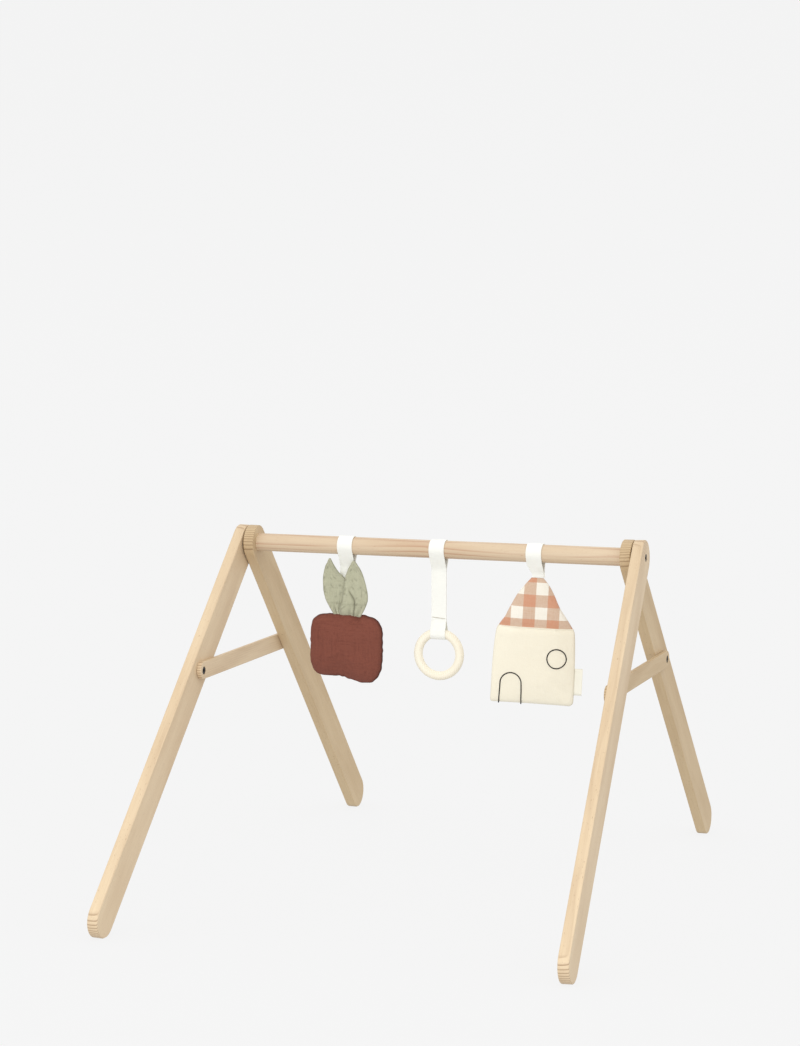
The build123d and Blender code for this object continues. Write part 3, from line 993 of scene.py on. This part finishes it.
@dataclass
class StuffedApple(SewnPad):
    """The muslin apple: a soft square with a dip in its foot."""

    half_width: float = 55.2 * MM
    half_height: float = 46.5 * MM
    half_depth: float = 21.0 * MM
    squareness: float = 3.9
    swells: tuple = ((252, 24, -8.5), (305, 15, 6.0), (66, 13, -2.5), (137, 16, 2.0), (25, 14, 1.0))
    swell_limit: float = 5 * MM

    def reach(self, angle: float) -> float:
        """The outline's distance from the middle, at an angle from +X.

        Args:
            angle: In radians, anticlockwise as seen from the front.

        Returns:
            The distance in metres.
        """
        wide = abs(math.cos(angle) / self.half_width) ** self.squareness
        high = abs(math.sin(angle) / self.half_height) ** self.squareness
        reach = (wide + high) ** (-1 / self.squareness)
        degrees = math.degrees(angle) % 360
        for at, spread, height in self.swells:
            away = (degrees - at + 180) % 360 - 180
            reach += height * MM * math.exp(-((away / spread) ** 2))
        return reach

    def cover(self) -> bmesh.types.BMesh:
        """The stuffed cover before its seam is drawn in."""
        bm = self.sheet()
        for vert in bm.verts:
            u, v = vert.co.x, vert.co.z
            x, z = u * math.sqrt(1 - v * v / 2), v * math.sqrt(1 - u * u / 2)
            rim = min(1.0, math.hypot(x, z))
            turn = math.atan2(z, x)
            reach = self.reach(turn) * rim
            depth = self.half_depth * (1 - rim**2.6) ** 0.62
            vert.co = Vector((math.cos(turn) * reach, -depth, math.sin(turn) * reach))
        self.close(bm)
        return bm

    def build(self, material: bpy.types.Material) -> bpy.types.Object:
        """Make the apple, stuff it and draw its seam in.

        Args:
            material: The muslin.

        Returns:
            The apple.
        """
        bm = self.cover()
        centre = middle("apple_cover")
        bmesh.ops.translate(bm, verts=bm.verts, vec=centre)
        piece = new_piece("stuffed_apple", bm, material)
        puff(piece, pressure=4, cap=self.swell_limit)
        self.draw_in(piece, centre)
        subdivide(piece, 1)
        settle(piece)
        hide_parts("apple_cover", "apple_filling")
        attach(piece, "apple")
        LOG.info("stuffed the apple")
        return piece

    def draw_in(self, piece: bpy.types.Object, centre: Vector) -> None:
        """Pull the seam in, pucker the cloth beside it and mark it for a painted shade."""
        seam = []
        for vert in piece.data.vertices:
            offset = vert.co - centre
            turn = math.atan2(offset.z, offset.x)
            near = math.exp(-((offset.y / (3.6 * MM)) ** 2))
            beside = math.exp(-(((abs(offset.y) - 6 * MM) / (6 * MM)) ** 2))
            pucker = noise.noise(Vector((math.cos(turn) * 9, math.sin(turn) * 9, offset.y * 40)))
            outward = Vector((offset.x, 0, offset.z)).normalized()
            edge = smoothstep(0.8, 0.97, math.hypot(offset.x, offset.z) / self.reach(turn))
            vert.co += outward * edge * (pucker * 1.5 * MM * beside + pucker * 0.9 * MM * near)
            # The seam mark paints shade along the seam at the rim.
            seam.append(edge * near)
        mark(piece, "seam", seam)


@dataclass
class AppleLeaf:
    """One leaf of crinkled gauze, gathered and folded where it is sewn into the apple."""

    name: str
    node: str
    left_edge: tuple
    right_edge: tuple
    forward: tuple
    length: float
    tuck: float = 0.0
    lap: tuple = ()
    thickness: float = 2.0 * MM
    across: int = 26
    along: int = 54
    base: float = 370.4 * MM

    def reach(self, rise: float) -> tuple[float, float]:
        """The leaf's left and right edges at a share of its length.

        Args:
            rise: 0 at the root and 1 at the tip.

        Returns:
            Both edges, in metres from the tape's middle.
        """
        return along_profile(self.left_edge, rise) * MM, along_profile(self.right_edge, rise) * MM

    def relief(self, share: float, rise: float) -> float:
        """How far the gauze stands behind the leaf's flat shape.

        Args:
            share: 0 at the left edge and 1 at the right edge.
            rise: 0 at the root and 1 at the tip.

        Returns:
            The depth in metres, negative in front.
        """
        gathers = math.cos(share * math.pi * 5) * smoothstep(-0.02, 0.1, rise) * (1 - smoothstep(0.1, 0.36, rise)) * 1.4
        cup = (1 - (2 * share - 1) ** 2) * 2.6 * smoothstep(0, 0.35, rise) * (1 - smoothstep(0.8, 1, rise))
        crinkle = noise.fractal(Vector((share * 5, rise * 9, self.length * 90)), 1.0, 2.0, 4) * 1.0
        puckers = noise.noise(Vector((share * 13, rise * 4, 7))) * 0.8 * (1 - smoothstep(0.25, 0.75, rise))
        tucked = self.tuck * smoothstep(0.72, 1.0, share) * smoothstep(0.1, 0.3, rise)
        tucked *= 1 - smoothstep(0.6, 0.8, rise)
        lapped = 0.0
        if self.lap:
            line = along_profile(self.lap, rise)
            lapped = -2.8 * smoothstep(0, 0.12, rise) * (1 - smoothstep(line - 0.02, line + 0.07, share))
            lapped *= 1 - smoothstep(0.42, 0.56, rise)
        return (gathers + cup + crinkle + puckers + tucked + lapped) * MM

    def shade(self, share: float, rise: float) -> float:
        """How much painted shade a point gets in a hem, gathered valley, stitched row, wrinkle or fold, from 0 to 1."""
        hem = 0.3 * (1 - smoothstep(0, 0.05, min(share, 1 - share)))
        valley = 0.3 * max(0.0, math.cos(share * math.pi * 5)) * (1 - smoothstep(0.05, 0.3, rise))
        row = 0.35 * math.exp(-(((rise - 0.23) / 0.009) ** 2))
        wrinkle = 0.3 * smoothstep(0.25, 0.5, noise.noise(Vector((share * 9, rise * 16, 3))))
        fold = 0.0
        if self.tuck:
            fold = smoothstep(0.86, 0.98, share) * smoothstep(0.2, 0.3, rise) * (1 - smoothstep(0.5, 0.66, rise))
        if self.lap:
            away = (share - along_profile(self.lap, rise) - 0.07) / 0.035
            fold = max(fold, 0.75 * math.exp(-(away**2)) * (1 - smoothstep(0.4, 0.52, rise)))
        return min(1.0, hem + valley + row + wrinkle + fold)

    def build(self, material: bpy.types.Material, centre_x: float) -> bpy.types.Object:
        """Make the leaf.

        Args:
            material: The gauze.
            centre_x: The middle of the tape, from which the edges are measured.

        Returns:
            The leaf.
        """
        bm = bmesh.new()
        bmesh.ops.create_grid(bm, x_segments=self.across, y_segments=self.along, size=1)
        shades = []
        for vert in bm.verts:
            share, rise = (vert.co.x + 1) / 2, (vert.co.y + 1) / 2
            left, right = self.reach(rise)
            y = self.relief(share, rise) - along_profile(self.forward, rise) * MM
            vert.co = Vector((centre_x + left + (right - left) * share, y, self.base + rise * self.length))
            shades.append(self.shade(share, rise))
        bmesh.ops.recalc_face_normals(bm, faces=bm.faces)
        piece = new_piece(self.name, bm, material)
        # The seam mark carries the leaf's painted shade.
        mark(piece, "seam", shades)
        wall = piece.modifiers.new("layers", "SOLIDIFY")
        wall.thickness, wall.offset = self.thickness, 0
        subdivide(piece, 1)
        settle(piece)
        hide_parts(self.node)
        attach(piece, "apple")
        LOG.info("sewed %s", self.name)
        return piece


@dataclass
class PaddedHouse(SewnPad):
    """The flat house: a checked roof and plain walls over wadding, with a stitched door and window."""

    segments: int = 56
    tilt: float = math.radians(2.6)
    turn: float = math.radians(12)
    top: Vector = field(default_factory=lambda: Vector((145.9, 0, 438.7)) * MM)
    left_side: tuple = ((0, 7.5), (12, 17.8), (25, 27.5), (40, 35.6), (69, 51), (74, 54.2), (115, 57.4), (178, 57.8))
    right_side: tuple = ((0, 7.6), (12, 18.2), (40, 35.6), (69, 53), (74, 56.2), (115, 58.6), (178, 58.8))
    corners: tuple = (2.5 * MM, 7 * MM)
    roof_height: float = 70 * MM
    wall_height: float = 108 * MM
    half_depth: float = 7.2 * MM
    window: tuple = (32.4, -110.9, 13.2)
    door: tuple = (-29.2, -148.5, 14.7)
    line_radius: float = 0.8 * MM
    tag_height: float = 37 * MM
    tag_step: float = 1.5 * MM
    tag_reach: float = 10.5 * MM
    tag_drop: float = 54 * MM

    @property
    def place(self) -> Matrix:
        """The house's own frame, at the top of its roof."""
        turned = Matrix.Translation(self.top) @ Matrix.Rotation(self.turn, 4, "Z")
        return turned @ Matrix.Rotation(self.tilt, 4, "Y")

    def half_width(self, drop: float, side: float) -> float:
        """The house's reach from its middle line at a drop below the roof's top.

        Args:
            drop: In metres.
            side: Negative for the left, positive for the right.

        Returns:
            The reach in metres, rounded off at the lower corner.
        """
        stops, corner = (self.left_side, self.corners[0]) if side < 0 else (self.right_side, self.corners[1])
        reach = along_profile(stops, drop / MM) * MM
        into = (drop - (self.roof_height + self.wall_height - corner)) / corner
        return reach - corner * (1 - math.sqrt(1 - min(1.0, max(0.0, into)) ** 2))

    def cover(self) -> bmesh.types.BMesh:
        """The whole cover in the house's own frame, before its roof and walls are cut apart."""
        bm = self.sheet()
        height = self.roof_height + self.wall_height
        for vert in bm.verts:
            u, v = vert.co.x, vert.co.z
            drop = height * (1 - v) / 2
            inside = (1 - abs(u) ** 6) ** 0.45 * (1 - abs(v) ** 9) ** 0.45
            eaves = 1 - 0.22 * math.exp(-(((drop - self.roof_height) / (4 * MM)) ** 2))
            slack = 1 - 0.5 * (1 - smoothstep(0, 0.35, drop / height))
            depth = self.half_depth * inside * eaves * slack
            vert.co = Vector((u * self.half_width(drop, u), -depth, -drop))
        self.close(bm)
        return bm

    def build(self, effects: SharedEffects) -> None:
        """Make the roof, walls, eaves seam, stitched lines and tag."""
        # Both cloths' edge colours are a painted shade along the house's outline seam.
        checked = CheckedCloth(
            "checked_cotton", light=paint(250, 247, 238), deep=paint(232, 226, 212), edge=paint(170, 118, 92),
            thread=0.5 * MM, weave_depth=0.12 * MM, crease_depth=0.5 * MM, contrast=0.4, turn=self.place,
            band=16.7 * MM, start=(-17.2 * MM, -41.2 * MM, 0), single=paint(203, 172, 147), double=paint(203, 146, 116),
        ).material(effects)
        plain = ClothFinish(
            "cream_cotton", light=paint(249, 246, 231), deep=paint(232, 224, 203), edge=paint(206, 196, 170),
            thread=0.6 * MM, weave_depth=0.12 * MM, crease_depth=1.1 * MM, contrast=0.45, turn=self.place,
        ).material(effects)
        bm = self.cover()
        bmesh.ops.transform(bm, matrix=self.place, verts=bm.verts)
        whole = new_piece("house_cover", bm, plain)
        puff(whole, pressure=3, cap=2.5 * MM, stiffness=20)
        self.crease(whole)
        subdivide(whole, 1)
        settle(whole)
        walls = self.part_of(whole, "house_plain_walls", plain, above=False)
        roof = self.part_of(whole, "house_checked_roof", checked, above=True)
        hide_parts("house_walls", "house_filling")
        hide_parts("house_roof")
        surface = BVHTree.FromObject(whole, bpy.context.evaluated_depsgraph_get())
        thread = EMBROIDERY_THREAD.material(effects)
        self.stitch("house_window_stitching", self.window_line(), surface, thread)
        self.stitch("house_door_stitching", self.door_line(), surface, thread)
        self.seam_at_eaves(whole, plain)
        self.tag(TAG_TAPE.material(effects))
        bpy.data.objects.remove(whole)
        for piece in (walls, roof):
            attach(piece, "house")
        LOG.info("padded the house")

    def crease(self, whole: bpy.types.Object) -> None:
        """Let the padded cloth ripple softly, most near its seams, and mark the seams for a painted shade."""
        back = self.place.inverted()
        seam = []
        for vert in whole.data.vertices:
            spot = back @ vert.co
            rim = abs(spot.x) / self.half_width(min(178 * MM, max(0, -spot.z)), spot.x)
            edge = smoothstep(0.75, 1, rim)
            ripple = noise.fractal(Vector((spot.x * 38, spot.z * 30, 2)), 1.0, 2.0, 2) * 1.1 * MM
            facing = 1 if spot.y > 0 else -1
            if rim < 0.985:
                spot.y += facing * ripple * (0.35 + 0.65 * edge) * (1 - smoothstep(0.93, 0.99, rim))
            vert.co = self.place @ spot
            # The seam mark paints shade along the outline seam.
            seam.append(smoothstep(0.985, 1.0, rim))
        mark(whole, "seam", seam)

    def part_of(
        self, whole: bpy.types.Object, name: str, material: bpy.types.Material, above: bool,
    ) -> bpy.types.Object:
        """Cut the roof or the walls from the whole cover, and close the cut.

        Args:
            whole: The whole cover.
            name: The part's name.
            material: Its cloth.
            above: True for the roof, above the eaves.

        Returns:
            The part, closed.
        """
        bm = bmesh.new()
        bm.from_mesh(whole.data)
        point, normal = self.eaves_plane()
        everything = bm.verts[:] + bm.edges[:] + bm.faces[:]
        cut = bmesh.ops.bisect_plane(
            bm, geom=everything, plane_co=point, plane_no=normal, clear_inner=above, clear_outer=not above)
        bmesh.ops.holes_fill(bm, edges=only(bmesh.types.BMEdge, cut["geom_cut"]), sides=0)
        bmesh.ops.recalc_face_normals(bm, faces=bm.faces)
        return new_piece(name, bm, material)

    def eaves_plane(self) -> tuple[Vector, Vector]:
        """A point on the eaves and the way up the house."""
        point = self.place @ Vector((0, 0, -self.roof_height))
        return point, self.place.to_3x3() @ Vector((0, 0, 1))

    def seam_at_eaves(self, whole: bpy.types.Object, material: bpy.types.Material) -> None:
        """Lay the narrow turned edge that shows all round between roof and walls."""
        bm = bmesh.new()
        bm.from_mesh(whole.data)
        point, normal = self.eaves_plane()
        everything = bm.verts[:] + bm.edges[:] + bm.faces[:]
        cut = bmesh.ops.bisect_plane(bm, geom=everything, plane_co=point, plane_no=normal)["geom_cut"]
        kept = set(only(bmesh.types.BMVert, cut))
        bmesh.ops.delete(bm, geom=[vert for vert in bm.verts if vert not in kept], context="VERTS")
        extra = [edge for edge in bm.edges if edge not in set(cut)]
        bmesh.ops.delete(bm, geom=extra, context="EDGES")
        thread_line("house_eaves_seam", bm, 0.8 * MM, material, "house")

    def window_line(self) -> bmesh.types.BMesh:
        """The round window's line, flat in the house's own frame."""
        x, z, radius = (value * MM for value in self.window)
        bm = bmesh.new()
        bmesh.ops.create_circle(bm, cap_ends=False, radius=radius, segments=72)
        place = Matrix.Translation((x, 0, z)) @ Matrix.Rotation(math.radians(90), 4, "X")
        bmesh.ops.transform(bm, matrix=place, verts=bm.verts)
        return bm

    def door_line(self) -> bmesh.types.BMesh:
        """The arched door's line, flat in the house's own frame."""
        x, z, radius = (value * MM for value in self.door)
        foot = -(self.roof_height + self.wall_height) + 1.2 * MM
        bm = bmesh.new()
        start = bm.verts.new((x + radius * 1.05, 0, foot))
        spring = bm.verts.new((x + radius, 0, z))
        bm.edges.new((start, spring))
        arch = bmesh.ops.spin(
            bm, geom=[spring], cent=(x, 0, z), axis=(0, -1, 0), angle=math.pi, steps=28)["geom_last"]
        landing = only(bmesh.types.BMVert, arch)[0]
        bm.edges.new((landing, bm.verts.new((x - radius * 1.05, 0, foot))))
        bmesh.ops.subdivide_edges(bm, edges=[edge for edge in bm.edges if edge.calc_length() > 20 * MM], cuts=14)
        return bm

    def stitch(self, name: str, bm: bmesh.types.BMesh, surface: BVHTree, material: bpy.types.Material) -> None:
        """Lay a line of embroidery on the front of the house.

        Args:
            name: The line's name.
            bm: Its path, flat in the house's own frame.
            surface: The cover that it lies on.
            material: Its thread.
        """
        towards = self.place.to_3x3() @ Vector((0, 1, 0))
        for vert in bm.verts:
            wander = noise.noise_vector(vert.co * 60) * 0.35 * MM
            start = self.place @ Vector((vert.co.x + wander.x, -60 * MM, vert.co.z + wander.z))
            hit = surface.ray_cast(start, towards)[0]
            vert.co = (hit or start + towards * 54 * MM) - towards * 0.15 * MM
        thread_line(name, bm, self.line_radius, material, "house")

    def tag(self, material: bpy.types.Material) -> None:
        """Fold the plain tape tag that stands out of the right side seam."""
        bm = bmesh.new()
        ends = [bm.verts.new((0, -0.35 * MM, -self.tag_height)), bm.verts.new((0, -0.35 * MM, 0))]
        edge = bm.edges.new(ends)
        bmesh.ops.subdivide_edges(bm, edges=[edge], cuts=9)
        edges = list(bm.edges)
        outward = Matrix.Translation((self.tag_step, 0, 0))
        inward = Matrix.Translation((-self.tag_step, 0, 0))
        pivot = Matrix.Translation((self.tag_reach, 0, 0))
        unpivot = Matrix.Translation((-self.tag_reach, 0, 0))
        fold = pivot @ Matrix.Rotation(math.radians(30), 4, "Z") @ unpivot
        for step in [outward] * 7 + [fold] * 6 + [inward] * 7:
            _, edges = carry_on(bm, edges, step)
        start = self.half_width(142 * MM, 1) - 1.2 * MM
        drop = self.roof_height + self.tag_drop
        bmesh.ops.transform(bm, matrix=self.place @ Matrix.Translation((start, 0, -drop)), verts=bm.verts)
        bmesh.ops.recalc_face_normals(bm, faces=bm.faces)
        piece = new_piece("house_side_tag", bm, material)
        wall = piece.modifiers.new("thickness", "SOLIDIFY")
        wall.thickness, wall.offset = 0.4 * MM, 0
        settle(piece)
        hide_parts("house_tag")
        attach(piece, "house")
        LOG.info("folded the tag")


# ------------------------------------------------------------------ the studio
@dataclass
class Studio:
    """The pale floor and backdrop, the soft light and the camera."""

    floor_tone: tuple = paint(245, 245, 245)
    camera_place: tuple = (1.16062, -3.40782, 0.89537)
    camera_turn: tuple = (83.853, 0.0, 19.625)
    lens: float = 89.78
    key_place: tuple = (0.2, -2.8, 0.62)
    key_size: float = 1.1
    key_power: float = 20.5
    sky_below: float = 0.58
    sky_above: float = 1.37
    floor_glow: float = 0.93

    def build(self) -> None:
        """Set up the floor, light and camera."""
        self.floor()
        self.light("key", self.key_place, self.key_size, self.key_power)
        self.tent()
        self.camera()
        view = bpy.context.scene.view_settings
        view.view_transform, view.look, view.exposure, view.gamma = "Standard", "None", 0, 1

    def tent(self) -> None:
        """An even white light from all round, stronger from above than from below."""
        world = bpy.data.worlds.new("studio")
        bpy.context.scene.world = world
        world.use_nodes = True
        wiring = Wiring(world.node_tree)
        sky = world.node_tree.nodes["Background"]
        way = wiring.add("ShaderNodeSeparateXYZ", {0: wiring.add("ShaderNodeTexCoord").outputs["Generated"]})
        wiring.feed(sky.inputs["Strength"], wiring.span(way.outputs[2], -1, 1, self.sky_below, self.sky_above))
        sky.inputs["Color"].default_value = (1, 1, 1, 1)

    def floor(self) -> None:
        """A floor that sweeps up behind into a backdrop."""
        bm = bmesh.new()
        bmesh.ops.create_grid(bm, x_segments=1, y_segments=1, size=1)
        bmesh.ops.scale(bm, vec=(30, 20, 1), verts=bm.verts)
        bmesh.ops.translate(bm, vec=(0, -11, 0), verts=bm.verts)
        back = [edge for edge in bm.edges if all(vert.co.y > 8.9 for vert in edge.verts)]
        bend = bmesh.ops.spin(
            bm, geom=back + [v for e in back for v in e.verts], cent=(0, 9, 2), axis=(1, 0, 0),
            angle=math.radians(90), steps=24)
        edges = only(bmesh.types.BMEdge, bend["geom_last"])
        made = bmesh.ops.extrude_edge_only(bm, edges=edges)["geom"]
        bmesh.ops.translate(bm, vec=(0, 0, 9), verts=only(bmesh.types.BMVert, made))
        bmesh.ops.recalc_face_normals(bm, faces=bm.faces)
        material, _, shader = new_material("studio_floor")
        shader.inputs["Base Color"].default_value = paint(64, 64, 64)
        shader.inputs["Roughness"].default_value = 1.0
        shader.inputs["Specular IOR Level"].default_value = 0.0
        shader.inputs["Emission Color"].default_value = self.floor_tone
        shader.inputs["Emission Strength"].default_value = self.floor_glow
        sweep = new_piece("studio_sweep", bm, material)
        sweep.visible_diffuse = False

    def light(self, name: str, place: tuple, size: float, power: float) -> None:
        """A square soft light aimed at the toys."""
        lamp = bpy.data.lights.new(name, "AREA")
        lamp.size, lamp.energy = size, power
        holder = linked(name, lamp)
        holder.location = place
        holder.rotation_euler = (Vector((0, 0, 0.25)) - Vector(place)).to_track_quat("-Z", "Y").to_euler()

    def camera(self) -> None:
        """The camera, a little above the bar and to the right."""
        lens = bpy.data.cameras.new("camera")
        lens.lens, lens.sensor_width, lens.clip_end = self.lens, 36, 100
        holder = linked("camera", lens)
        holder.location = self.camera_place
        holder.rotation_euler = [math.radians(angle) for angle in self.camera_turn]
        bpy.context.scene.camera = holder


def main() -> None:
    """Build every sub-assembly."""
    logging.basicConfig(level=logging.INFO, format="%(message)s")
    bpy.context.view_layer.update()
    effects = SharedEffects(grain_group(), weave_group(), check_group())
    WoodFrame().dress(effects)
    tape = IVORY_TAPE.material(effects)
    BarTape("apple_hanging_tape", "apple_strap", "apple_loop", "apple", 95.7 * MM, 20 * MM).build(tape)
    ring_tape = RingTape("ring_hanging_tape", "ring_strap", "ring_loop", "teething_ring", 130 * MM, 22 * MM)
    ring_tape.build(tape)
    ring_tape.stitch(SEWING_THREAD.material(effects))
    BarTape(
        "house_hanging_tape", "house_strap", "house_loop", "house", 33.5 * MM, 15.6 * MM,
        end_turn=math.radians(12), end_shift=3.2 * MM, layer_slip=1.6 * MM,
    ).build(tape)
    StuffedApple().build(TERRACOTTA_MUSLIN.material(effects))
    gauze = SAGE_GAUZE.material(effects)
    left = AppleLeaf(
        "left_leaf", "apple_left_leaf",
        left_edge=((0, -18.4), (0.18, -27), (0.3, -32), (0.48, -34.8), (0.67, -34.5), (0.86, -30), (1, -23.5)),
        right_edge=(
            (0, -9.5), (0.18, -7), (0.3, -1.8), (0.62, -0.4), (0.68, -4.2), (0.78, -11.5), (0.9, -18.2), (1, -22),
        ),
        forward=((0, 0.8), (0.06, 2.6), (0.3, 4.8), (0.6, 6.5), (1, 10.5)), length=83 * MM, tuck=2.8,
    )
    right = AppleLeaf(
        "right_leaf", "apple_right_leaf",
        left_edge=((0, -9.5), (0.19, -8), (0.3, -4.2), (0.5, -2.2), (0.7, -0.2), (0.81, 3.2), (0.92, 7.6), (1, 12.2)),
        right_edge=(
            (0, 20.4), (0.1, 25.4), (0.25, 31.6), (0.36, 33.4), (0.5, 32.2), (0.64, 29.6), (0.81, 24.9),
            (0.95, 17.5), (1, 13.8),
        ),
        forward=((0, 1.6), (0.06, 3.8), (0.3, 7.4), (0.6, 9.4), (1, 11)), length=80.5 * MM,
        lap=((0, 0.57), (0.19, 0.47), (0.31, 0.35), (0.44, 0.17), (0.6, 0.02), (1, 0)),
    )
    centre_x = middle("apple_strap").x
    left.build(gauze, centre_x)
    right.build(gauze, centre_x)
    PaddedHouse().build(effects)
    Studio().build()


if __name__ == "__main__":
    main()
